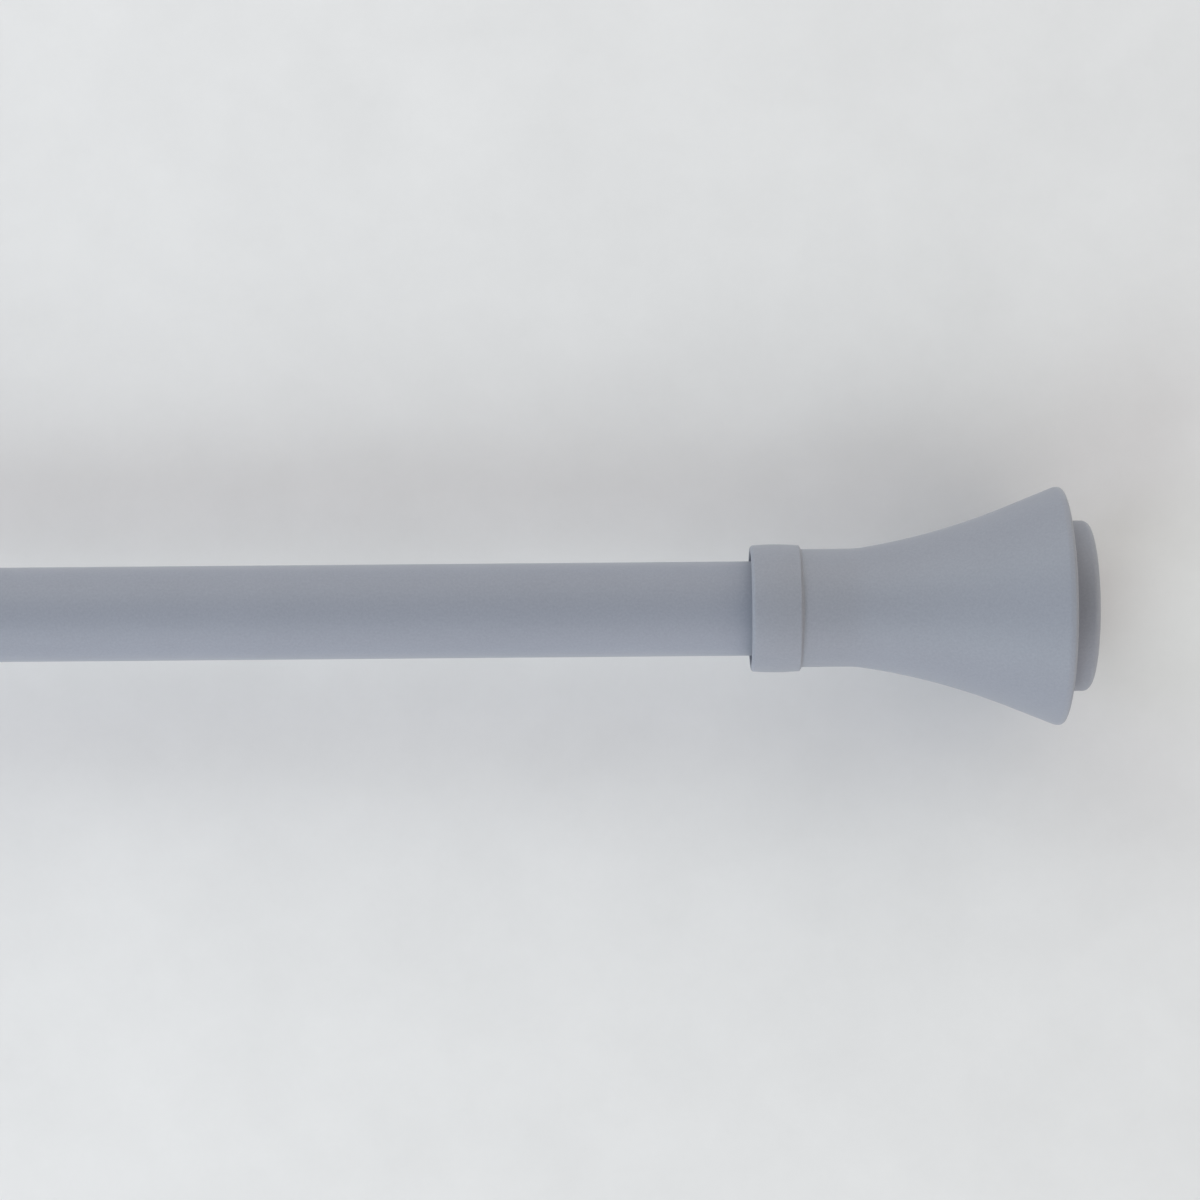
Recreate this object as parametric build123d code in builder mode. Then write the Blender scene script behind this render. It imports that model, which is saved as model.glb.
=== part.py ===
"""Extendable curtain rod: a thin tube that slides in a thick one, with a trumpet finial at each end.

X runs along the rod, from the thick tube's finial to the thin tube's. Z is up. The origin is on the
rod's axis, at the middle of the thick tube. Millimetres.
"""

from build123d import *
from math import atan2, cos, radians, sin, tan
import os

# Tubes
thin_tube_diameter = 16.0
telescope_gap = 0.9
tube_wall = 0.6
thick_tube_length = 640.0
thin_tube_length = 620.0
thin_tube_shown = 260.0

# Rolled groove near the hidden end of the thin tube, which holds the glide
groove_depth = 0.5
groove_width = 3.0
groove_distance = 8.0

# Plastic ring in the thick tube's mouth
ring_flange_thickness = 1.2
ring_sleeve_length = 12.0
ring_edge_chamfer = 0.4
ring_slot_count = 4
ring_slot_length = 8.0
ring_slot_width = 1.6
ring_press_clearance = 0.03
ring_running_clearance = 0.06

# Plastic glide on the thin tube's hidden end
glide_neck_length = 16.0
glide_wall = 1.25
glide_shoulder_thickness = 1.5
glide_cone_length = 2.0
glide_head_length = 10.0
glide_nose_drop = 0.7
glide_nose_length = 4.0
glide_slot_count = 4
glide_slot_width = 2.0
glide_end_gap = 0.2
glide_neck_clearance = 0.05
glide_groove_clearance = 0.25
glide_waist_clearance = 0.15
glide_running_clearance = 0.06

# Finial body: collar, neck and trumpet flare in one moulding
collar_wall = 1.125
collar_crown = 0.14
collar_length = 8.6
collar_edge_chamfer = 0.5
collar_step_height = 0.7
collar_step_slope = 0.5
flare_start = 16.5
flare_root_radius = 16.5
flare_root_slope = 8.9
flare_cone_length = 8.5
lip_diameter = 40.34
lip_shoulder = 0.55
lip_blend_radius = 1.6
lip_edge_radius = 0.65
finial_length = 52.7

# Inside of the finial body
socket_clearance = 0.075
socket_depth = 7.6
mouth_edge_chamfer = 0.3
hex_width = 11.0
hex_depth = 4.4
hex_clearance = 0.06
web_thickness = 3.0
finial_wall = 1.9
bell_middle = 35.0
bell_hollow_diameter = 24.0
screw_hole_diameter = 4.4
stiffener_count = 4
stiffener_thickness = 1.2
stiffener_foot_diameter = 13.0
stiffener_height = 3.2

# End cap: a hollow boss on a flange, pushed into the bell's mouth by a slotted skirt
boss_diameter = 28.9
boss_height = 4.6
boss_edge_chamfer = 0.8
cap_wall = 1.8
cap_flange_diameter = 34.6
cap_flange_thickness = 1.6
cap_skirt_diameter = 32.7
cap_skirt_length = 4.5
cap_skirt_wall = 1.4
cap_slot_count = 6
cap_slot_width = 2.0
cap_clearance = 0.05
cap_skirt_room = 0.5

# Spigot plug between the finial and its tube
spigot_length = 21.2
spigot_core_inset = 0.7
spigot_rib_count = 6
spigot_rib_width = 1.2
spigot_clearance = 0.04
spigot_lead = 1.0

# Plug screw
screw_diameter = 4.0
screw_length = 12.0
screw_head_diameter = 8.0
screw_head_height = 3.1
screw_head_crown = 0.9
screw_thread_clearance = 0.05
screw_tip_room = 1.5
recess_width = 1.0
recess_span = 4.4
recess_depth = 1.6

# Sizes that follow from the ones above
thin_tube_radius = thin_tube_diameter / 2
thin_bore_radius = thin_tube_radius - tube_wall
thick_bore_radius = thin_tube_radius + telescope_gap
thick_tube_radius = thick_bore_radius + tube_wall
thick_tube_mouth = thick_tube_length / 2
thick_tube_tail = -thick_tube_length / 2
thin_tube_tip = thick_tube_mouth + thin_tube_shown
thin_tube_tail = thin_tube_tip - thin_tube_length
socket_radius = thick_tube_radius + socket_clearance
web_start = socket_depth + hex_depth
web_end = web_start + web_thickness
cap_seat = finial_length - cap_flange_thickness
cap_socket_start = cap_seat - cap_skirt_length - cap_skirt_room
cap_socket_radius = cap_skirt_diameter / 2 + cap_clearance
collar_radius = socket_radius + collar_wall
finial_neck_radius = collar_radius - collar_step_height
root_turn = radians(flare_root_slope)
knee = Vector(
    flare_start + flare_root_radius * sin(root_turn),
    finial_neck_radius + flare_root_radius * (1 - cos(root_turn)),
)
lip_radius = lip_diameter / 2
lip_corner = Vector(finial_length - lip_edge_radius - lip_shoulder, lip_radius)
bell_hollow_radius = bell_hollow_diameter / 2
spigot_tip = socket_depth - spigot_length


def lengthwise(face, outward, turn=0.0):
    """Plane through the rod's axis: x runs outward from face, y runs away from the axis."""
    along = Vector(outward, 0, 0)
    away = Vector(0, sin(radians(turn)), cos(radians(turn)))
    return Plane(origin=(face, 0, 0), x_dir=along, z_dir=along.cross(away))


def across(face, outward, distance=0.0):
    """Plane square to the rod's axis, at a distance outward from face."""
    return Plane(origin=(face + outward * distance, 0, 0), x_dir=(0, 1, 0), z_dir=(outward, 0, 0))


def keep(part, name):
    """Label a finished piece and write its STEP file."""
    part.label = name
    export_step(part, f"parts/{name}.step")


def thin_tube():
    """Thin tube, with the rolled groove that holds its glide."""
    groove_near = groove_distance - groove_width / 2
    groove_far = groove_distance + groove_width / 2
    with BuildPart() as tube:
        with BuildSketch(lengthwise(thin_tube_tail, 1)):
            with BuildLine():
                for radius in (thin_tube_radius, thin_bore_radius):
                    Line((0, radius), (groove_near, radius))
                    ThreePointArc(
                        (groove_near, radius),
                        (groove_distance, radius - groove_depth),
                        (groove_far, radius),
                    )
                    Line((groove_far, radius), (thin_tube_length, radius))
                Line((0, thin_bore_radius), (0, thin_tube_radius))
                Line((thin_tube_length, thin_bore_radius), (thin_tube_length, thin_tube_radius))
            make_face()
        revolve(axis=Axis.X)
    return tube.part


def thick_tube():
    """Plain thick tube."""
    with BuildPart() as tube:
        with BuildSketch(across(thick_tube_tail, 1)):
            Circle(thick_tube_radius)
            Circle(thick_bore_radius, mode=Mode.SUBTRACT)
        extrude(amount=thick_tube_length)
    return tube.part


def mouth_ring():
    """Ring that guides the thin tube in the thick tube's mouth: a flange and a slotted sleeve."""
    bore_radius = thin_tube_radius + ring_running_clearance
    sleeve_radius = thick_bore_radius - ring_press_clearance
    with BuildPart() as ring:
        with BuildSketch(lengthwise(thick_tube_mouth, 1)):
            with BuildLine():
                Polyline(
                    (0, thick_tube_radius),
                    (0, sleeve_radius),
                    (-ring_sleeve_length, sleeve_radius),
                    (-ring_sleeve_length, bore_radius),
                    (ring_flange_thickness, bore_radius),
                    (ring_flange_thickness, thick_tube_radius - ring_edge_chamfer),
                    (ring_flange_thickness - ring_edge_chamfer, thick_tube_radius),
                    close=True,
                )
            make_face()
        revolve(axis=Axis.X)
        with BuildSketch(across(thick_tube_mouth, 1, -ring_sleeve_length)):
            with PolarLocations(sleeve_radius, ring_slot_count):
                Rectangle(2 * sleeve_radius, ring_slot_width)
        extrude(amount=ring_slot_length, mode=Mode.SUBTRACT)
    return ring.part


def glide():
    """Glide on the thin tube's hidden end: a neck in the tube, and a split barrel in the thick tube."""
    neck_radius = thin_bore_radius - glide_neck_clearance
    waist_radius = thin_bore_radius - groove_depth - glide_waist_clearance
    bore_radius = waist_radius - glide_wall
    barrel_radius = thick_bore_radius - glide_running_clearance
    waist_near = -groove_distance + groove_width / 2 + glide_groove_clearance
    waist_far = -groove_distance - groove_width / 2 - glide_groove_clearance
    shoulder_end = glide_end_gap + glide_shoulder_thickness
    barrel_start = shoulder_end + glide_cone_length
    head_end = shoulder_end + glide_head_length
    with BuildPart() as piece:
        with BuildSketch(lengthwise(thin_tube_tail, -1)):
            with BuildLine():
                Polyline(
                    (head_end - glide_nose_length, barrel_radius),
                    (head_end, barrel_radius - glide_nose_drop),
                    (head_end, bore_radius),
                    (-glide_neck_length, bore_radius),
                    (-glide_neck_length, waist_radius),
                    (-glide_neck_length + neck_radius - waist_radius, neck_radius),
                    (waist_far, neck_radius),
                    (waist_far, waist_radius),
                    (waist_near, waist_radius),
                    (waist_near, neck_radius),
                    (glide_end_gap, neck_radius),
                    (glide_end_gap, thin_tube_radius),
                    (shoulder_end, thin_tube_radius),
                    (barrel_start, barrel_radius),
                    close=True,
                )
            make_face()
        revolve(axis=Axis.X)
        with BuildSketch(across(thin_tube_tail, -1, barrel_start)):
            with PolarLocations(barrel_radius, glide_slot_count):
                Rectangle(2 * barrel_radius, glide_slot_width)
        extrude(amount=glide_head_length, mode=Mode.SUBTRACT)
    return piece.part


def flare_line():
    """Where the flare's arc ends and its cone starts, and the ends of the arc between cone and lip."""
    reach = lip_corner - knee
    along = reach.dot(Vector(cos(root_turn), sin(root_turn)))
    aside = reach.dot(Vector(-sin(root_turn), cos(root_turn)))
    # The arc leaves the knee at the root's slope and runs without a corner into the straight cone.
    cone_turn = root_turn + 2 * atan2(aside, flare_cone_length + along)
    cone_direction = Vector(cos(cone_turn), sin(cone_turn))
    blend_trim = lip_blend_radius * tan(cone_turn / 2)
    return (
        lip_corner - cone_direction * flare_cone_length,
        lip_corner - cone_direction * blend_trim,
        lip_corner + Vector(blend_trim, 0),
    )


def finial_hollow(face, outward):
    """The space inside the bell, from the web to the cap's skirt, with its stiffeners taken out of it."""
    with BuildPart() as space:
        with BuildSketch(lengthwise(face, outward)):
            with BuildLine():
                Polyline(
                    (web_end, 0),
                    (web_end, finial_neck_radius - finial_wall),
                    (knee.X, knee.Y - finial_wall),
                    (bell_middle, bell_hollow_radius),
                    (cap_socket_start, cap_socket_radius),
                    (cap_socket_start, 0),
                    close=True,
                )
            make_face()
        revolve(axis=Axis.X)
        for number in range(stiffener_count):
            with BuildSketch(lengthwise(face, outward, 360 * number / stiffener_count)):
                with BuildLine():
                    Polyline(
                        (web_end, stiffener_foot_diameter / 2),
                        (cap_socket_start, cap_socket_radius - stiffener_height),
                        (cap_socket_start, lip_radius),
                        (web_end, lip_radius),
                        close=True,
                    )
                make_face()
            extrude(amount=stiffener_thickness / 2, both=True, mode=Mode.SUBTRACT)
    return space.part


def finial_body(face, outward):
    """Collar, neck and flare, with the tube socket, the plug's hex, the web and the cap's socket."""
    cone_start, blend_start, blend_end = flare_line()
    rim_radius = cap_flange_diameter / 2 + cap_clearance
    step_start = collar_length - collar_step_height * collar_step_slope
    hollow = finial_hollow(face, outward)
    with BuildPart() as body:
        with BuildSketch(lengthwise(face, outward)):
            with BuildLine():
                Polyline(
                    (finial_length, lip_radius - lip_edge_radius),
                    (finial_length, 0),
                    (socket_depth, 0),
                    (socket_depth, socket_radius),
                    (mouth_edge_chamfer, socket_radius),
                    (0, socket_radius + mouth_edge_chamfer),
                    (0, collar_radius - collar_edge_chamfer),
                    (collar_edge_chamfer, collar_radius),
                )
                ThreePointArc(
                    (collar_edge_chamfer, collar_radius),
                    (collar_length / 2, collar_radius + collar_crown),
                    (step_start, collar_radius),
                )
                Polyline(
                    (step_start, collar_radius),
                    (collar_length, finial_neck_radius),
                    (flare_start, finial_neck_radius),
                )
                root = TangentArc((flare_start, finial_neck_radius), knee, tangent=(1, 0))
                flare = TangentArc(root @ 1, cone_start, tangent=root % 1)
                cone = Line(flare @ 1, blend_start)
                blend = TangentArc(cone @ 1, blend_end, tangent=cone % 1)
                lip = Line(blend @ 1, (finial_length - lip_edge_radius, lip_radius))
                TangentArc(lip @ 1, (finial_length, lip_radius - lip_edge_radius), tangent=lip % 1)
            make_face()
        revolve(axis=Axis.X)
        add(hollow, mode=Mode.SUBTRACT)
        with BuildSketch(across(face, outward, cap_socket_start)):
            Circle(cap_socket_radius)
        extrude(amount=finial_length - cap_socket_start, mode=Mode.SUBTRACT)
        with BuildSketch(across(face, outward, cap_seat)):
            Circle(rim_radius)
        extrude(amount=cap_flange_thickness, mode=Mode.SUBTRACT)
        with BuildSketch(across(face, outward, socket_depth)):
            RegularPolygon(hex_width / 2 + hex_clearance, 6, major_radius=False)
        extrude(amount=hex_depth, mode=Mode.SUBTRACT)
        with BuildSketch(across(face, outward, web_start)):
            Circle(screw_hole_diameter / 2)
        extrude(amount=web_thickness, mode=Mode.SUBTRACT)
    return body.part


def end_cap(face, outward):
    """Cap that closes the bell: a hollow boss, a flange and a slotted skirt."""
    boss_radius = boss_diameter / 2
    boss_end = finial_length + boss_height
    skirt_radius = cap_skirt_diameter / 2
    skirt_end = cap_seat - cap_skirt_length
    hollow_radius = boss_radius - cap_wall
    with BuildPart() as cap:
        with BuildSketch(lengthwise(face, outward)):
            with BuildLine():
                Polyline(
                    (boss_end, boss_radius - boss_edge_chamfer),
                    (boss_end, 0),
                    (boss_end - cap_wall, 0),
                    (boss_end - cap_wall, hollow_radius),
                    (cap_seat, hollow_radius),
                    (cap_seat, skirt_radius - cap_skirt_wall),
                    (skirt_end, skirt_radius - cap_skirt_wall),
                    (skirt_end, skirt_radius),
                    (cap_seat, skirt_radius),
                    (cap_seat, cap_flange_diameter / 2),
                    (finial_length, cap_flange_diameter / 2),
                    (finial_length, boss_radius),
                    (boss_end - boss_edge_chamfer, boss_radius),
                    close=True,
                )
            make_face()
        revolve(axis=Axis.X)
        with BuildSketch(across(face, outward, skirt_end)):
            with PolarLocations(skirt_radius, cap_slot_count):
                Rectangle(2 * skirt_radius, cap_slot_width)
        extrude(amount=cap_skirt_length, mode=Mode.SUBTRACT)
    return cap.part


def spigot_plug(face, outward, bore_radius):
    """Plug screwed to the finial's web: a hex stem, and a ribbed spigot that grips the tube's bore."""
    rib_radius = bore_radius - spigot_clearance
    core_radius = rib_radius - spigot_core_inset
    pilot_radius = screw_diameter / 2 + screw_thread_clearance
    pilot_depth = screw_length - web_thickness + screw_tip_room
    with BuildPart() as plug:
        with BuildSketch(lengthwise(face, outward)):
            with BuildLine():
                Polyline(
                    (spigot_tip, 0),
                    (spigot_tip, rib_radius - spigot_lead),
                    (spigot_tip + spigot_lead, rib_radius),
                    (socket_depth, rib_radius),
                    (socket_depth, 0),
                    close=True,
                )
            make_face()
        revolve(axis=Axis.X)
        with BuildSketch(across(face, outward, spigot_tip)):
            Circle(rib_radius + spigot_core_inset)
            Circle(core_radius, mode=Mode.SUBTRACT)
            with PolarLocations(rib_radius, spigot_rib_count):
                Rectangle(4 * spigot_core_inset, spigot_rib_width, mode=Mode.SUBTRACT)
        extrude(amount=spigot_length - spigot_core_inset, mode=Mode.SUBTRACT)
        with BuildSketch(across(face, outward, socket_depth)):
            RegularPolygon(hex_width / 2, 6, major_radius=False)
        extrude(amount=hex_depth)
        with BuildSketch(across(face, outward, web_start)):
            Circle(pilot_radius)
        extrude(amount=-pilot_depth, mode=Mode.SUBTRACT)
    return plug.part


def plug_screw(face, outward):
    """Pan-head screw that holds the plug to the web, with a cross recess."""
    head_radius = screw_head_diameter / 2
    head_end = web_end + screw_head_height
    with BuildPart() as screw:
        with BuildSketch(lengthwise(face, outward)):
            with BuildLine():
                Polyline(
                    (head_end, 0),
                    (web_end - screw_length, 0),
                    (web_end - screw_length, screw_diameter / 2),
                    (web_end, screw_diameter / 2),
                    (web_end, head_radius),
                    (head_end - screw_head_crown, head_radius),
                    (head_end, head_radius - screw_head_crown),
                    close=True,
                )
            make_face()
        revolve(axis=Axis.X)
        with BuildSketch(across(face, outward, head_end)):
            Rectangle(recess_span, recess_width)
            Rectangle(recess_width, recess_span)
        extrude(amount=-recess_depth, mode=Mode.SUBTRACT)
    return screw.part


os.makedirs("parts", exist_ok=True)
keep(thick_tube(), "thick_tube")
keep(thin_tube(), "thin_tube")
keep(mouth_ring(), "mouth_ring")
keep(glide(), "thin_tube_glide")

rod_ends = [
    ("thin_end", thin_tube_tip - socket_depth, 1, thin_bore_radius),
    ("thick_end", thick_tube_tail + socket_depth, -1, thick_bore_radius),
]
for end, collar_face, outward, bore_radius in rod_ends:
    keep(finial_body(collar_face, outward), f"{end}_finial_body")
    keep(end_cap(collar_face, outward), f"{end}_finial_cap")
    keep(spigot_plug(collar_face, outward, bore_radius), f"{end}_spigot_plug")
    keep(plug_screw(collar_face, outward), f"{end}_plug_screw")
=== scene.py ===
"""Dresses the extendable curtain rod: finely modelled tubes and finials, their paint, light and camera.

Everything is in metres, in the frame of the solids: X runs along the rod, Z is up, and the origin is
on the rod's axis at the middle of the thick tube. A finial's own sizes are written as distances from
its collar's mouth, outward along the rod, and as radii about the axis.
"""

import logging
from dataclasses import dataclass, field
from enum import Enum
from itertools import pairwise
from math import atan2, cos, pi, radians, sin

import bpy
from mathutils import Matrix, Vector


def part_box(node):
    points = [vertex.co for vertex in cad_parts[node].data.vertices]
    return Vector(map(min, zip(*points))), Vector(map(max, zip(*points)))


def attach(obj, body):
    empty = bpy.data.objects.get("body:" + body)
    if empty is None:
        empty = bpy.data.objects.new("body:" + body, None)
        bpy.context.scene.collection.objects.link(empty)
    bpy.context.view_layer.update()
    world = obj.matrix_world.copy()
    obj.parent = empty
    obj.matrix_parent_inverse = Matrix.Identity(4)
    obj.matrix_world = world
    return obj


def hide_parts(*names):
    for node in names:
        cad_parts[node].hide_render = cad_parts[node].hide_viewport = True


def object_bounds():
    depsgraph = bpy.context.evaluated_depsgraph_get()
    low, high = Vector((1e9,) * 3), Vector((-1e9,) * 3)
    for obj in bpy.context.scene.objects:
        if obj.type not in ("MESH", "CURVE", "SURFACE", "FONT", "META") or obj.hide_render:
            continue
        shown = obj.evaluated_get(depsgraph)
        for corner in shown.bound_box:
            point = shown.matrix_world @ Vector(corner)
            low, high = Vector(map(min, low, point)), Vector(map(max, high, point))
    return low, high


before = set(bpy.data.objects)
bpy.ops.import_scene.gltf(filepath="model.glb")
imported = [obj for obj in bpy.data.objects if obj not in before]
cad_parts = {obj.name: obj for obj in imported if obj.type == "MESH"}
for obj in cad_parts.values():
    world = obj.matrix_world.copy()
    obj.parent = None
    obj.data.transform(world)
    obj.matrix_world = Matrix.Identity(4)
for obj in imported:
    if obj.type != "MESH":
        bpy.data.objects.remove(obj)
cad_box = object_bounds()

log = logging.getLogger("curtain_rod")

MM = 0.001
ROUND_STEP = radians(9)
SMOOTH_ANGLE = radians(32)
MERGE_DISTANCE = 2e-7
HEX_SIDES = 6
NOISE_MIDDLE = 0.5

Pair = tuple[float, float]
Triple = tuple[float, float, float]
Colour = Triple
Settings = dict[str, object]
Inputs = dict[int | str, object]


class End(Enum):
    """The two ends of the rod, by the names that their nodes start with."""

    THIN = "thin_end"
    THICK = "thick_end"

    @property
    def outward(self) -> int:
        """Direction along X that leads out of the rod at this end."""
        return 1 if self is End.THIN else -1


class Combining(Enum):
    """What a tool does to a piece."""

    CUT = "DIFFERENCE"
    JOIN = "UNION"


class Slot(Enum):
    """The record's material slots."""

    TUBE_PAINT = "tube_paint"
    FINIAL_PAINT = "finial_paint"
    GREY_PLASTIC = "grey_plastic"
    BLACK_PLASTIC = "black_plastic"
    ZINC_STEEL = "zinc_steel"


def deselect() -> None:
    """Leave edit mode and deselect every object."""
    if bpy.context.object and bpy.context.object.mode == "EDIT":
        bpy.ops.object.mode_set(mode="OBJECT")
    bpy.ops.object.select_all(action="DESELECT")


@dataclass
class Outline:
    """The outline of a round piece, as distances along the axis and radii about it, in metres."""

    points: list[Vector] = field(default_factory=list)

    def line(self, *ends: Pair) -> None:
        """Run straight to each end in turn.

        Args:
            ends: distance and radius of each end.
        """
        self.points.extend(Vector(end) for end in ends)

    def about(self, centre: Vector, radius: float, first: float, last: float, least: int = 3) -> None:
        """Run along an arc.

        Args:
            centre: distance and radius of the arc's centre.
            radius: the arc's own radius.
            first: angle of its first point, counted from the outward direction.
            last: angle of its last point.
            least: the fewest stretches that it is divided into.
        """
        steps = max(least, round(abs(last - first) / ROUND_STEP))
        for step in range(steps + 1):
            angle = first + (last - first) * step / steps
            self.points.append(centre + radius * Vector((cos(angle), sin(angle))))

    def bow(self, end: Pair, sag: float, steps: int = 12) -> None:
        """Run from the last point to the end along a shallow arc.

        Args:
            end: distance and radius of the end.
            sag: height of the arc over its chord, positive to the left of the way along it.
            steps: how many stretches the arc is divided into.
        """
        start, stop = self.points[-1], Vector(end)
        chord = stop - start
        left = Vector((-chord.y, chord.x)).normalized()
        half = chord.length / 2
        radius = (half**2 + sag**2) / (2 * abs(sag))
        turn = 2 * atan2(abs(sag), half)
        side = 1 if sag > 0 else -1
        centre = (start + stop) / 2 - left * side * (radius - abs(sag))
        along = chord.normalized()
        for step in range(1, steps + 1):
            angle = -turn + 2 * turn * step / steps
            self.points.append(centre + radius * (along * sin(angle) + left * side * cos(angle)))

    def corner(self, at: Pair, towards: Pair, radius: float) -> None:
        """Run straight from the last point round a rounded corner, ready to go on towards a point.

        Args:
            at: distance and radius of the sharp corner.
            towards: the point that the outline heads for afterwards.
            radius: the corner's rounding.
        """
        corner = Vector(at)
        back = (self.points[-1] - corner).normalized()
        ahead = (Vector(towards) - corner).normalized()
        half = back.angle(ahead) / 2
        centre = corner + (back + ahead).normalized() * radius / sin(half)
        reach = radius * cos(half) / sin(half)
        start, stop = corner + back * reach - centre, corner + ahead * reach - centre
        first = atan2(start.y, start.x)
        sweep = (atan2(stop.y, stop.x) - first + pi) % (2 * pi) - pi
        self.about(centre, radius, first, first + sweep)


@dataclass(frozen=True)
class Lathe:
    """Turns outlines about the rod's axis, from a place on it, outward in one direction."""

    place: float
    outward: int
    segments: int = 128

    def turn(self, name: str, outline: Outline, hollow: bool) -> bpy.types.Object:
        """Model a round piece ring by ring.

        Args:
            name: the piece's name.
            outline: its outline, which starts and ends on flat faces across the axis if it isn't hollow.
            hollow: whether the outline closes on itself instead.

        Returns:
            The piece, at the origin, with its place in its mesh.
        """
        deselect()
        first = outline.points[0]
        bpy.ops.mesh.primitive_circle_add(
            vertices=self.segments,
            radius=first.y,
            fill_type="NOTHING" if hollow else "NGON",
            location=(self.place + self.outward * first.x, 0, 0),
            rotation=(0, pi / 2, 0),
        )
        piece = bpy.context.object
        piece.name = piece.data.name = name
        bpy.ops.object.transform_apply(location=True, rotation=True, scale=True)
        bpy.ops.object.mode_set(mode="EDIT")
        bpy.ops.mesh.select_mode(type="EDGE")
        bpy.ops.mesh.select_all(action="SELECT")
        stations = outline.points + [first] if hollow else outline.points
        for here, there in pairwise(stations):
            step = self.outward * (there.x - here.x)
            bpy.ops.mesh.extrude_edges_move(TRANSFORM_OT_translate={"value": (step, 0, 0)})
            grow = there.y / here.y
            bpy.ops.transform.resize(
                value=(1, grow, grow), center_override=(self.place + self.outward * there.x, 0, 0)
            )
        if not hollow:
            bpy.ops.mesh.edge_face_add()
        finish_mesh()
        return piece


def finish_mesh() -> None:
    """Merge doubled points, point the faces outward and smooth all but the sharp edges."""
    bpy.ops.mesh.select_all(action="SELECT")
    bpy.ops.mesh.remove_doubles(threshold=MERGE_DISTANCE)
    bpy.ops.mesh.normals_make_consistent(inside=False)
    bpy.ops.object.mode_set(mode="OBJECT")
    bpy.ops.object.shade_smooth_by_angle(angle=SMOOTH_ANGLE)


def block(name: str, size: Triple, centre: Triple) -> bpy.types.Object:
    """Model a plain block, as a tool for cutting.

    Args:
        name: the block's name.
        size: its lengths along X, Y and Z.
        centre: its middle.

    Returns:
        The block, at the origin, with its place in its mesh.
    """
    deselect()
    bpy.ops.mesh.primitive_cube_add(size=1, location=centre)
    piece = bpy.context.object
    piece.name = name
    piece.scale = size
    bpy.ops.object.transform_apply(location=True, rotation=True, scale=True)
    return piece


def plate(name: str, corners: list[Pair], thickness: float) -> bpy.types.Object:
    """Model a flat plate that stands on the rod's axis, upright, from the corners of its outline.

    Args:
        name: the plate's name.
        corners: X and Z of each corner in turn.
        thickness: its thickness, along Y.

    Returns:
        The plate, at the origin, with its place in its mesh.
    """
    deselect()
    places = [Vector((x, -thickness / 2, z)) for x, z in corners]
    bpy.ops.mesh.primitive_plane_add(size=thickness, location=places[0])
    piece = bpy.context.object
    piece.name = name
    bpy.ops.object.transform_apply(location=True, rotation=True, scale=True)
    bpy.ops.object.mode_set(mode="EDIT")
    bpy.ops.mesh.select_mode(type="VERT")
    bpy.ops.mesh.select_all(action="SELECT")
    bpy.ops.mesh.merge(type="CENTER")
    for here, there in pairwise(places):
        bpy.ops.mesh.extrude_vertices_move(TRANSFORM_OT_translate={"value": there - here})
    bpy.ops.mesh.select_all(action="SELECT")
    bpy.ops.mesh.edge_face_add()
    bpy.ops.mesh.extrude_region_move(TRANSFORM_OT_translate={"value": (0, thickness, 0)})
    finish_mesh()
    return piece


def select_only(piece: bpy.types.Object) -> None:
    """Select one object and nothing else, and make it the active one."""
    deselect()
    piece.select_set(True)
    bpy.context.view_layer.objects.active = piece


def ring_of(tool: bpy.types.Object, count: int) -> list[bpy.types.Object]:
    """Copy a tool evenly round the rod's axis.

    Args:
        tool: the tool, which stays as the first.
        count: how many tools there are in the end.

    Returns:
        The tools, each with its own mesh.
    """
    tools = [tool]
    for number in range(1, count):
        select_only(tool)
        bpy.ops.object.duplicate()
        bpy.context.object.rotation_euler = (2 * pi * number / count, 0, 0)
        bpy.ops.object.transform_apply(location=True, rotation=True, scale=True)
        tools.append(bpy.context.object)
    return tools


def combine(piece: bpy.types.Object, tools: list[bpy.types.Object], way: Combining) -> None:
    """Cut tools out of a piece, or join them to it, and delete them.

    Args:
        piece: the piece that stays.
        tools: the tools, which don't.
        way: whether they are cut out or joined.
    """
    select_only(tools[0])
    for tool in tools[1:]:
        tool.select_set(True)
    if len(tools) > 1:
        bpy.ops.object.join()
    select_only(piece)
    change = piece.modifiers.new("combining", "BOOLEAN")
    change.operation = way.value
    change.solver = "EXACT"
    change.use_self = True
    change.object = tools[0]
    bpy.ops.object.modifier_apply(modifier=change.name)
    select_only(tools[0])
    bpy.ops.object.delete()
    select_only(piece)
    bpy.ops.object.shade_smooth_by_angle(angle=SMOOTH_ANGLE)


class Number:
    """A number socket of a node tree, for sums written as plain expressions."""

    def __init__(self, graph: "Graph", socket: bpy.types.NodeSocket) -> None:
        """Wrap a socket of a tree."""
        self.graph = graph
        self.socket = socket

    def _sum(self, operation: str, first: "Number | float", second: "Number | float") -> "Number":
        """One Math node of two values."""
        node = self.graph.node("ShaderNodeMath", {"operation": operation}, {0: first, 1: second})
        return Number(self.graph, node.outputs[0])

    def __add__(self, other: "Number | float") -> "Number":
        """Sum."""
        return self._sum("ADD", self, other)

    def __radd__(self, other: float) -> "Number":
        """Sum, with a plain number first."""
        return self._sum("ADD", other, self)

    def __sub__(self, other: "Number | float") -> "Number":
        """Difference."""
        return self._sum("SUBTRACT", self, other)

    def __rsub__(self, other: float) -> "Number":
        """Difference, with a plain number first."""
        return self._sum("SUBTRACT", other, self)

    def __mul__(self, other: "Number | float") -> "Number":
        """Product."""
        return self._sum("MULTIPLY", self, other)

    def __rmul__(self, other: float) -> "Number":
        """Product, with a plain number first."""
        return self._sum("MULTIPLY", other, self)

    def at_least(self, least: float) -> "Number":
        """The number, or the least where it is lower."""
        return self._sum("MAXIMUM", self, least)


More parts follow.
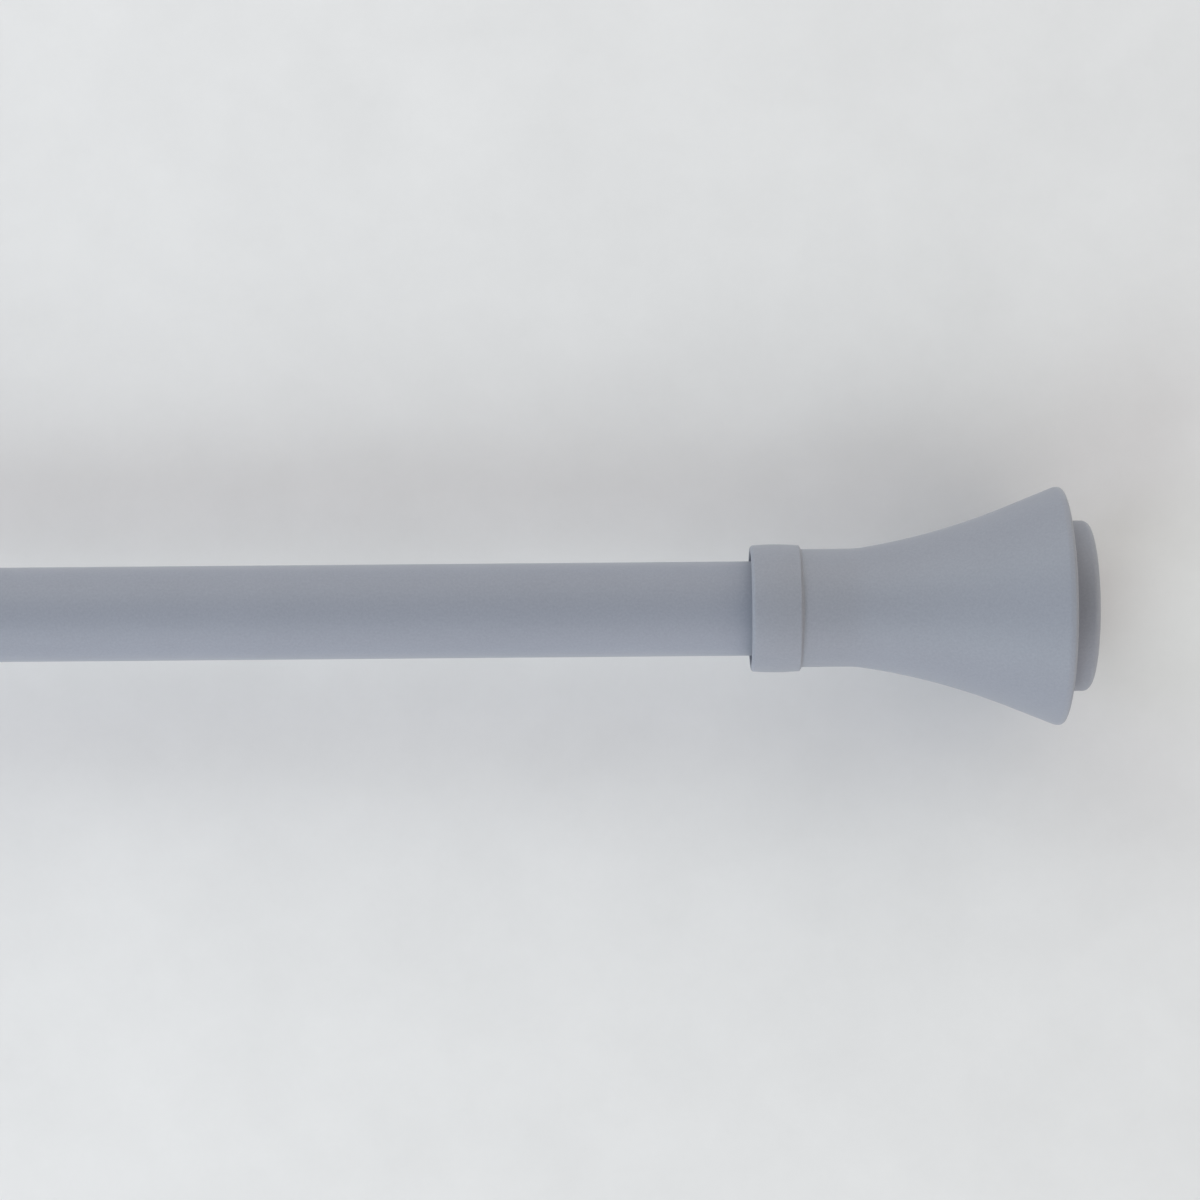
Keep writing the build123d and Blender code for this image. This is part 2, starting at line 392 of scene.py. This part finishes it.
class Graph:
    """A node tree being built, of a material or of the world."""

    def __init__(self, tree: bpy.types.NodeTree) -> None:
        """Wrap a tree."""
        self.tree = tree

    def node(self, kind: str, settings: Settings, inputs: Inputs) -> bpy.types.Node:
        """Add a node.

        Args:
            kind: its type.
            settings: its settings, set first; stops is a colour ramp's two places and colours.
            inputs: a value, socket or Number for each of its sockets.

        Returns:
            The node.
        """
        node = self.tree.nodes.new(kind)
        for key, value in settings.items():
            if key == "stops":
                for element, (place, colour) in zip(node.color_ramp.elements, value):
                    element.position, element.color = place, (*colour, 1.0)
            else:
                setattr(node, key, value)
        for key, value in inputs.items():
            self.put(node.inputs[key], value)
        return node

    def put(self, socket: bpy.types.NodeSocket, value: object) -> None:
        """Give a socket a value or a link."""
        if isinstance(value, Number):
            value = value.socket
        if isinstance(value, bpy.types.NodeSocket):
            self.tree.links.new(value, socket)
        else:
            socket.default_value = value

    def parts(self, vector: bpy.types.NodeSocket) -> list[Number]:
        """A vector's X, Y and Z."""
        split = self.node("ShaderNodeSeparateXYZ", {}, {"Vector": vector})
        return [Number(self, part) for part in split.outputs]

    def colour(self, red: Number, green: Number, blue: Number) -> bpy.types.NodeSocket:
        """A colour put together from its three channels."""
        return self.node("ShaderNodeCombineColor", {}, {0: red, 1: green, 2: blue}).outputs["Color"]


class Shading(Graph):
    """A material being built: its surface shader, and the place on the object that it goes by."""

    def __init__(self, name: str) -> None:
        """Start a material of this name."""
        self.material = bpy.data.materials.new(name)
        self.material.use_nodes = True
        super().__init__(self.material.node_tree)
        self.place = self.node("ShaderNodeTexCoord", {}, {}).outputs["Object"]

    def surface(self, values: Inputs) -> None:
        """Set the surface shader.

        Args:
            values: a value, socket or Number for each socket that is set.
        """
        shader = self.tree.nodes["Principled BSDF"]
        for key, value in values.items():
            self.put(shader.inputs[key], value)

    def noise(
        self,
        per_metre: float,
        detail: float = 2.0,
        roughness: float = 0.5,
        squeeze: Triple = (1.0, 1.0, 1.0),
    ) -> Number:
        """Smooth noise over the object.

        Args:
            per_metre: how many waves there are in a metre.
            detail: how many finer layers are added.
            roughness: how strong those are.
            squeeze: share of the waves that is left along X, Y and Z; a low one draws them out.

        Returns:
            A number from 0 to 1.
        """
        drawn_out = self.node("ShaderNodeMapping", {}, {"Vector": self.place, "Scale": squeeze})
        place = drawn_out.outputs["Vector"]
        inputs = {"Vector": place, "Scale": per_metre, "Detail": detail, "Roughness": roughness}
        return Number(self, self.node("ShaderNodeTexNoise", {}, inputs).outputs["Fac"])

    def tinted(self, mask: Number, colour: Colour, share: float) -> bpy.types.NodeSocket:
        """A colour that goes from darker to lighter by a share as the mask goes from 0 to 1."""
        stops = [(0.0, toned(colour, 1 - share)), (1.0, toned(colour, 1 + share))]
        return self.node("ShaderNodeValToRGB", {"stops": stops}, {"Fac": mask}).outputs["Color"]

    def bump(self, height: Number, depth: float) -> bpy.types.NodeSocket:
        """The surface's direction once it is raised by a height from 0 to 1 times a depth in metres."""
        return self.node("ShaderNodeBump", {}, {"Height": height, "Distance": depth}).outputs["Normal"]


def linear(red: int, green: int, blue: int) -> Colour:
    """A colour given as it shows on a screen, from 0 to 255, as a shader takes it, by the sRGB curve."""
    shares = (red / 255, green / 255, blue / 255)
    return tuple(c / 12.92 if c <= 0.04045 else ((c + 0.055) / 1.055) ** 2.4 for c in shares)


def toned(colour: Colour, share: float) -> Colour:
    """A colour made lighter or darker by a share."""
    return tuple(min(1.0, c * share) for c in colour)


@dataclass(frozen=True)
class Finish:
    """The facts that every finish has."""

    name: str
    colour: Colour
    roughness: float


@dataclass(frozen=True)
class MattePaint(Finish):
    """Matte grey paint, baked on: a fine grain, faint cloudiness and a soft sheen at the edges."""

    tint_share: float = 0.18
    clouds_per_metre: float = 55.0
    cloud_weight: float = 0.22
    cloud_layers: float = 3.0
    grain_per_metre: float = 2400.0
    grain_layers: float = 3.0
    grain_sharpness: float = 0.65
    grain_depth: float = 0.03 * MM
    grain_roughness: float = 0.16
    peel_per_metre: float = 620.0
    peel_layers: float = 1.0
    peel_weight: float = 0.5
    specular: float = 0.35
    sheen: float = 0.1

    def material(self) -> bpy.types.Material:
        """Make the material."""
        shading = Shading(self.name)
        clouds = shading.noise(self.clouds_per_metre, self.cloud_layers)
        grain = shading.noise(self.grain_per_metre, self.grain_layers, self.grain_sharpness)
        peel = shading.noise(self.peel_per_metre, self.peel_layers)
        tint = clouds * self.cloud_weight + grain * (1 - self.cloud_weight)
        relief = grain * (1 - self.peel_weight) + peel * self.peel_weight
        shading.surface(
            {
                "Base Color": shading.tinted(tint, self.colour, self.tint_share),
                "Roughness": self.roughness + (grain - NOISE_MIDDLE) * self.grain_roughness,
                "Specular IOR Level": self.specular,
                "Sheen Weight": self.sheen,
                "Sheen Roughness": self.roughness,
                "Normal": shading.bump(relief, self.grain_depth),
            }
        )
        return shading.material


@dataclass(frozen=True)
class MouldedPlastic(Finish):
    """Moulded plastic: a fine eroded skin with faint flow marks along the rod."""

    skin_per_metre: float = 2600.0
    skin_depth: float = 0.012 * MM
    skin_roughness: float = 0.2
    flow_per_metre: float = 240.0
    flow_squeeze: Triple = (0.2, 1.0, 1.0)
    flow_share: float = 0.08

    def material(self) -> bpy.types.Material:
        """Make the material."""
        shading = Shading(self.name)
        skin = shading.noise(self.skin_per_metre)
        flow = shading.noise(self.flow_per_metre, squeeze=self.flow_squeeze)
        shading.surface(
            {
                "Base Color": shading.tinted(flow, self.colour, self.flow_share),
                "Roughness": self.roughness + (skin - NOISE_MIDDLE) * self.skin_roughness,
                "Normal": shading.bump(skin, self.skin_depth),
            }
        )
        return shading.material


@dataclass(frozen=True)
class ZincPlate(Finish):
    """Zinc-plated steel: bright, with fine scratches round the axis and a cloudy plate."""

    scratches_per_metre: float = 5200.0
    scratch_squeeze: Triple = (1.0, 0.15, 0.15)
    scratch_roughness: float = 0.2
    scratch_depth: float = 0.01 * MM
    clouds_per_metre: float = 700.0
    cloud_share: float = 0.1

    def material(self) -> bpy.types.Material:
        """Make the material."""
        shading = Shading(self.name)
        scratches = shading.noise(self.scratches_per_metre, squeeze=self.scratch_squeeze)
        clouds = shading.noise(self.clouds_per_metre)
        shading.surface(
            {
                "Base Color": shading.tinted(clouds, self.colour, self.cloud_share),
                "Metallic": 1.0,
                "Roughness": self.roughness + (scratches - NOISE_MIDDLE) * self.scratch_roughness,
                "Normal": shading.bump(scratches, self.scratch_depth),
            }
        )
        return shading.material


@dataclass
class Paints:
    """Every finish of the rod, each made once."""

    tube: MattePaint = MattePaint("tube_matte_paint", linear(136, 142, 156), 0.5, sheen=0.22)
    finial: MattePaint = MattePaint("finial_matte_paint", linear(138, 143, 155), 0.5)
    grey: MouldedPlastic = MouldedPlastic("grey_moulded_plastic", linear(142, 147, 156), 0.5)
    black: MouldedPlastic = MouldedPlastic("black_moulded_plastic", linear(42, 42, 44), 0.45)
    zinc: ZincPlate = ZincPlate("zinc_plate", linear(205, 205, 200), 0.32)

    def __post_init__(self) -> None:
        """Make the materials."""
        pairs = {
            Slot.TUBE_PAINT: self.tube,
            Slot.FINIAL_PAINT: self.finial,
            Slot.GREY_PLASTIC: self.grey,
            Slot.BLACK_PLASTIC: self.black,
            Slot.ZINC_STEEL: self.zinc,
        }
        self.materials = {slot: finish.material() for slot, finish in pairs.items()}

    def dress(self, piece: bpy.types.Object, slot: Slot) -> None:
        """Give a new piece its finish.

        Args:
            piece: the piece.
            slot: the record's slot that it takes.
        """
        piece.data.materials.clear()
        piece.data.materials.append(self.materials[slot])

    def dress_node(self, node: str, slot: Slot) -> None:
        """Give a solid that stays its finish.

        Args:
            node: the solid's node.
            slot: the record's slot that it has.
        """
        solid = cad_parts[node]
        if not solid.material_slots:
            solid.data.materials.append(None)
        for place in solid.material_slots:
            place.material = self.materials[slot]
        log.info("%s keeps its solid", node)


@dataclass
class Tubes:
    """The two tubes, the ring in the thick one's mouth and the glide on the thin one's hidden end."""

    thick_radius: float = 9.5 * MM
    thin_radius: float = 8.0 * MM
    wall: float = 0.6 * MM
    groove_depth: float = 0.5 * MM
    groove_width: float = 3.0 * MM
    groove_distance: float = 8.0 * MM
    end_rounding: float = 0.18 * MM

    def plain(self, name: str, node: str, radius: float, grooved: bool) -> bpy.types.Object:
        """Model one tube along the box of the node that it stands for.

        Args:
            name: the piece's name.
            node: the tube's node.
            radius: its outside radius.
            grooved: whether a groove is rolled near its inner end.

        Returns:
            The tube.
        """
        low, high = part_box(node)
        length = high.x - low.x
        bore = radius - self.wall
        outline = Outline()
        outline.line((length / 2, bore))
        if grooved:
            near = self.groove_distance - self.groove_width / 2
            far = self.groove_distance + self.groove_width / 2
            outline.line((far, bore))
            outline.bow((near, bore), self.groove_depth)
        outline.corner((0, bore), (0, radius), self.end_rounding)
        outline.corner((0, radius), (length, radius), self.end_rounding)
        if grooved:
            outline.line((near, radius))
            outline.bow((far, radius), -self.groove_depth)
        outline.corner((length, radius), (length, bore), self.end_rounding)
        outline.corner((length, bore), (0, bore), self.end_rounding)
        return Lathe(low.x, 1).turn(name, outline, hollow=True)

    def build(self, paints: Paints) -> None:
        """Model and dress the tubes and the pieces between them."""
        for node, body, radius, grooved in (
            ("thick_tube", "thick_section", self.thick_radius, False),
            ("thin_tube", "thin_section", self.thin_radius, True),
        ):
            piece = self.plain(f"{node}_painted", node, radius, grooved)
            paints.dress(piece, Slot.TUBE_PAINT)
            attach(piece, body)
            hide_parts(node)
            log.info("%s rides on %s", piece.name, body)
        paints.dress_node("mouth_ring", Slot.GREY_PLASTIC)
        paints.dress_node("thin_tube_glide", Slot.BLACK_PLASTIC)


@dataclass
class Finial:
    """One end's finial: the moulded body, the cap in its mouth, the spigot plug and its screw."""

    end: End
    collar_radius: float = 10.7 * MM
    collar_crown: float = 0.14 * MM
    collar_length: float = 8.6 * MM
    collar_rounding: float = 0.62 * MM
    step_slope: float = 0.5
    step_rounding: float = 0.35 * MM
    neck_radius: float = 10.0 * MM
    flare_start: float = 16.5 * MM
    root_radius: float = 16.5 * MM
    root_turn: float = radians(8.9)
    cone_length: float = 8.5 * MM
    lip_radius: float = 20.17 * MM
    lip_shoulder: float = 0.55 * MM
    lip_blend: float = 1.6 * MM
    lip_rounding: float = 0.65 * MM
    flare_stretches: int = 24
    length: float = 52.7 * MM
    socket_radius: float = 9.575 * MM
    socket_depth: float = 7.6 * MM
    mouth_rounding: float = 0.25 * MM
    web_end: float = 15.0 * MM
    wall: float = 1.9 * MM
    hollow_middle: Pair = (35.0 * MM, 12.0 * MM)
    cap_socket: Pair = (46.1 * MM, 16.4 * MM)
    cap_seat: Pair = (51.1 * MM, 17.35 * MM)
    screw_hole_radius: float = 2.2 * MM
    hex_width: float = 11.12 * MM
    hex_depth: float = 4.4 * MM
    stiffeners: int = 4
    stiffener_thickness: float = 1.2 * MM
    stiffener_foot: float = 6.5 * MM
    stiffener_height: float = 3.2 * MM
    boss_radius: float = 14.45 * MM
    boss_end: float = 57.3 * MM
    boss_rounding: float = 1.2 * MM
    cap_flange_radius: float = 17.3 * MM
    cap_wall: float = 1.8 * MM
    skirt_radius: float = 16.35 * MM
    skirt_wall: float = 1.4 * MM
    skirt_end: float = 46.6 * MM
    cap_slots: int = 6
    cap_slot_width: float = 2.0 * MM
    cap_slot_spare: float = 1.0 * MM
    cap_slot_walls: float = 3.0

    @property
    def face(self) -> float:
        """Place of the collar's mouth on the X axis."""
        low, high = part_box(f"{self.end.value}_finial_body")
        return low.x if self.end is End.THIN else high.x

    @property
    def knee(self) -> Vector:
        """Distance and radius of the knee, where the neck's short curve goes over into the long flare."""
        turn = Vector((sin(self.root_turn), 1 - cos(self.root_turn)))
        return Vector((self.flare_start, self.neck_radius)) + turn * self.root_radius

    def body_outline(self) -> Outline:
        """Outside and inside of the moulded body, from the collar's mouth round the lip and back."""
        outline = Outline()
        edge, neck = self.collar_radius, self.neck_radius
        middle = (self.socket_radius + edge) / 2
        step = self.collar_length - (edge - neck) * self.step_slope
        outline.line((0, middle))
        outline.corner((0, edge), (self.collar_length / 2, edge + self.collar_crown), self.collar_rounding)
        outline.bow((step - self.step_rounding, edge), self.collar_crown)
        outline.corner((step, edge), (self.collar_length, neck), self.step_rounding)
        outline.corner((self.collar_length, neck), (self.flare_start, neck), self.step_rounding)
        self.flare(outline)
        self.hollow(outline)
        outline.corner((0, self.socket_radius), (0, middle), self.mouth_rounding)
        return outline

    def flare(self, outline: Outline) -> None:
        """Add the flare: a short curve out of the neck, the long arc, a straight cone and the lip.

        Args:
            outline: the outline, which has reached the neck.
        """
        knee = self.knee
        corner = Vector((self.length - self.lip_rounding - self.lip_shoulder, self.lip_radius))
        along = Vector((cos(self.root_turn), sin(self.root_turn)))
        aside = along.orthogonal()
        reach = corner - knee
        half = atan2(reach.dot(aside), self.cone_length + reach.dot(along))
        cone_turn = self.root_turn + 2 * half
        cone_start = corner - Vector((cos(cone_turn), sin(cone_turn))) * self.cone_length
        radius = (cone_start - knee).length / (2 * sin(half))
        down = -pi / 2
        root_centre = Vector((self.flare_start, self.neck_radius + self.root_radius))
        outline.about(root_centre, self.root_radius, down, down + self.root_turn)
        first, last = down + self.root_turn, down + cone_turn
        outline.about(knee + aside * radius, radius, first, last, self.flare_stretches)
        outline.corner(tuple(corner), (self.length, self.lip_radius), self.lip_blend)
        outline.corner((self.length, self.lip_radius), (self.length, 0), self.lip_rounding)

    def hollow(self, outline: Outline) -> None:
        """Add the inside: the cap's seat and socket, the bell's hollow, the web and the tube's socket.

        Args:
            outline: the outline, which has reached the lip's front face.
        """
        outline.line((self.length, self.cap_seat[1]))
        outline.line(self.cap_seat, (self.cap_seat[0], self.cap_socket[1]), self.cap_socket)
        outline.line(self.hollow_middle, (self.knee.x, self.knee.y - self.wall))
        outline.line((self.web_end, self.neck_radius - self.wall), (self.web_end, self.screw_hole_radius))
        outline.line((self.socket_depth, self.screw_hole_radius), (self.socket_depth, self.socket_radius))

    def stiffener_plates(self) -> list[bpy.types.Object]:
        """Model the stiffeners that stand in the bell, sunk by half its wall."""
        sunk = self.wall / 2
        outline = [
            (self.web_end - sunk, self.stiffener_foot),
            (self.web_end, self.stiffener_foot),
            (self.cap_socket[0], self.cap_socket[1] - self.stiffener_height),
            (self.cap_socket[0], self.cap_socket[1] + sunk / 2),
            (self.hollow_middle[0], self.hollow_middle[1] + sunk),
            (self.knee.x, self.knee.y - sunk),
            (self.web_end - sunk, self.neck_radius - sunk),
        ]
        corners = [(self.face + self.end.outward * distance, radius) for distance, radius in outline]
        return ring_of(plate("stiffener_tool", corners, self.stiffener_thickness), self.stiffeners)

    def body(self) -> bpy.types.Object:
        """Model the moulded body, with the plug's hex and the stiffeners in the bell."""
        lathe = Lathe(self.face, self.end.outward)
        piece = lathe.turn(f"{self.end.value}_finial_moulding", self.body_outline(), hollow=True)
        deselect()
        middle = self.face + self.end.outward * (self.socket_depth + self.hex_depth / 2)
        bpy.ops.mesh.primitive_cylinder_add(
            vertices=HEX_SIDES,
            radius=self.hex_width / 2 / cos(pi / HEX_SIDES),
            depth=self.hex_depth,
            location=(middle, 0, 0),
            rotation=(0, pi / 2, 0),
        )
        hexagon = bpy.context.object
        bpy.ops.object.transform_apply(location=True, rotation=True, scale=True)
        combine(piece, [hexagon], Combining.CUT)
        combine(piece, self.stiffener_plates(), Combining.JOIN)
        return piece

    def cap(self) -> bpy.types.Object:
        """Model the end cap: a hollow boss, its flange and the slotted skirt."""
        outline = Outline()
        hollow = self.boss_radius - self.cap_wall
        inner_skirt = self.skirt_radius - self.skirt_wall
        floor = self.boss_end - self.cap_wall
        outline.line((self.boss_end, self.boss_radius / 2))
        rim = (self.boss_end, self.boss_radius)
        outline.corner(rim, (self.length, self.boss_radius), self.boss_rounding)
        outline.line((self.length, self.boss_radius), (self.length, self.cap_flange_radius))
        outline.line((self.cap_seat[0], self.cap_flange_radius), (self.cap_seat[0], self.skirt_radius))
        outline.line((self.skirt_end, self.skirt_radius), (self.skirt_end, inner_skirt))
        outline.line((self.cap_seat[0], inner_skirt), (self.cap_seat[0], hollow))
        outline.corner((floor, hollow), (floor, 0), self.boss_rounding)
        outline.line((floor, hollow / 2))
        lathe = Lathe(self.face, self.end.outward)
        piece = lathe.turn(f"{self.end.value}_finial_cap_moulding", outline, hollow=False)
        depth = self.cap_seat[0] - self.skirt_end
        middle = self.face + self.end.outward * (self.skirt_end + depth / 2 - self.cap_slot_spare / 2)
        across = self.cap_slot_walls * self.skirt_wall
        slot_size = (depth + self.cap_slot_spare, across, self.cap_slot_width)
        slot = block("slot_tool", slot_size, (middle, self.skirt_radius, 0))
        combine(piece, ring_of(slot, self.cap_slots), Combining.CUT)
        return piece

    def build(self, paints: Paints) -> None:
        """Model and dress the finial's pieces."""
        body_name = f"{self.end.value}_finial"
        for piece, node in (
            (self.body(), f"{self.end.value}_finial_body"),
            (self.cap(), f"{self.end.value}_finial_cap"),
        ):
            paints.dress(piece, Slot.FINIAL_PAINT)
            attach(piece, body_name)
            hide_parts(node)
            log.info("%s rides on %s", piece.name, body_name)
        paints.dress_node(f"{self.end.value}_spigot_plug", Slot.BLACK_PLASTIC)
        paints.dress_node(f"{self.end.value}_plug_screw", Slot.ZINC_STEEL)


@dataclass(frozen=True)
class Lamp:
    """A soft rectangular lamp, placed from the camera's foot on the rod's axis."""

    name: str
    place: Triple
    size: Pair
    watts: float
    colour: Colour


@dataclass(frozen=True)
class Glow:
    """A part of the sky's light, strongest from one direction and gone at a right angle to it."""

    direction: Triple
    colour: Colour


@dataclass
class Studio:
    """A pale floor, soft lamps and the camera that looks straight down on the rod."""

    sky: tuple[Glow, ...] = (
        Glow((0.0, -1.0, 0.0), (2.0, 1.9, 1.88)),
        Glow((0.0, 1.0, 0.0), (1.9, 1.8, 1.7)),
        Glow((-1.0, 0.0, 0.0), (0.23, 0.29, 0.29)),
        Glow((1.0, 0.0, 0.0), (1.25, 1.13, 0.92)),
    )
    lamps: tuple[Lamp, ...] = (
        Lamp("front_soft_lamp", (-0.8, -1.0, 0.85), (0.9, 0.8), 8.05, (0.87, 1.0, 1.0)),
        Lamp("back_soft_lamp", (-0.8, 1.0, 0.85), (0.9, 0.8), 6.02, (0.92, 1.0, 0.97)),
        Lamp("left_soft_lamp", (-1.1, 0.0, 0.8), (0.7, 0.45), 3.0, (0.88, 0.83, 1.0)),
    )
    floor_colour: Colour = linear(222, 224, 228)
    floor_roughness: float = 0.8
    floor_specular: float = 0.2
    floor_smudge: float = 0.14
    smudges_per_metre: float = 40.0
    smudge_layers: float = 8.0
    smudge_sharpness: float = 0.7
    # Painted shade on the floor: how far its ambient occlusion reaches from the rod, and how much it
    # darkens the floor's colour.
    painted_shade_reach: float = 20.0 * MM
    painted_shade_share: float = 0.18
    floor_size: float = 60.0
    camera_x: float = 555.44 * MM
    camera_distance: float = 460.0 * MM
    camera_shift: float = -0.04167
    axis_below_centre: float = 1.59 * MM
    rod_rise: float = radians(0.49)
    lens: float = 81.33
    sensor_width: float = 36.0
    nearest_shown: float = 0.01

    def floor(self) -> None:
        """Lay the floor under the rod's lowest point, with painted shade: its colour is darkened close to
        what stands on it.
        """
        deselect()
        low = cad_box[0].z
        bpy.ops.mesh.primitive_plane_add(size=self.floor_size, location=(0, 0, low))
        sheet = bpy.context.object
        sheet.name = "floor"
        bpy.ops.object.transform_apply(location=True, rotation=True, scale=True)
        shading = Shading("pale_floor")
        smudge = shading.noise(self.smudges_per_metre, self.smudge_layers, self.smudge_sharpness)
        # Painted shade: ambient occlusion darkens the floor's base colour near the rod, a contact shadow
        # painted into its colour; the smudge is random tone.
        painted_shade_occlusion = shading.node("ShaderNodeAmbientOcclusion", {}, {"Distance": self.painted_shade_reach})
        painted_shade_mask = 1.0 - Number(shading, painted_shade_occlusion.outputs["AO"])
        level = 1.0 - painted_shade_mask * self.painted_shade_share + (smudge - NOISE_MIDDLE) * self.floor_smudge
        colour = shading.colour(*(level * channel for channel in self.floor_colour))
        shading.surface(
            {
                "Base Color": colour,
                "Roughness": self.floor_roughness,
                "Specular IOR Level": self.floor_specular,
            }
        )
        sheet.data.materials.append(shading.material)

    def hang(self, lamp: Lamp) -> None:
        """Hang one lamp, pointed at the rod's visible end."""
        deselect()
        foot = Vector((self.camera_x, 0, 0))
        where = foot + Vector(lamp.place)
        bpy.ops.object.light_add(type="AREA", location=where)
        light = bpy.context.object
        light.name = lamp.name
        light.data.shape = "RECTANGLE"
        light.data.size, light.data.size_y = lamp.size
        light.data.energy = lamp.watts
        light.data.color = lamp.colour
        light.rotation_euler = (foot - where).to_track_quat("-Z", "Y").to_euler()

    def world(self) -> None:
        """Set the sky's light, which changes with the direction that it comes from."""
        world = bpy.data.worlds.new("even_light")
        bpy.context.scene.world = world
        world.use_nodes = True
        graph = Graph(world.node_tree)
        way = graph.parts(graph.node("ShaderNodeTexCoord", {}, {}).outputs["Generated"])
        light = [0.0, 0.0, 0.0]
        for glow in self.sky:
            facing = sum(part * share for part, share in zip(way, glow.direction)).at_least(0.0)
            light = [total + facing * facing * channel for total, channel in zip(light, glow.colour)]
        graph.put(graph.tree.nodes["Background"].inputs["Color"], graph.colour(*light))

    def camera(self) -> None:
        """Set the camera over the rod, looking straight down, a little off the axis."""
        deselect()
        across = Vector((-sin(self.rod_rise), cos(self.rod_rise), 0))
        place = Vector((self.camera_x, 0, self.camera_distance)) + across * self.axis_below_centre
        bpy.ops.object.camera_add(location=place, rotation=(0, 0, -self.rod_rise))
        camera = bpy.context.object
        camera.name = "camera_over_rod"
        camera.data.lens = self.lens
        camera.data.shift_x = self.camera_shift
        camera.data.sensor_width = self.sensor_width
        camera.data.sensor_fit = "HORIZONTAL"
        camera.data.clip_start = self.nearest_shown
        bpy.context.scene.camera = camera

    def build(self) -> None:
        """Set floor, lamps, sky and camera."""
        self.floor()
        for lamp in self.lamps:
            self.hang(lamp)
        self.world()
        self.camera()
        bpy.context.scene.view_settings.view_transform = "Standard"


def main() -> None:
    """Build every piece, then the studio."""
    logging.basicConfig(level=logging.INFO, format="%(name)s: %(message)s")
    paints = Paints()
    Tubes().build(paints)
    for end in End:
        Finial(end).build(paints)
    Studio().build()


if __name__ == "__main__":
    main()
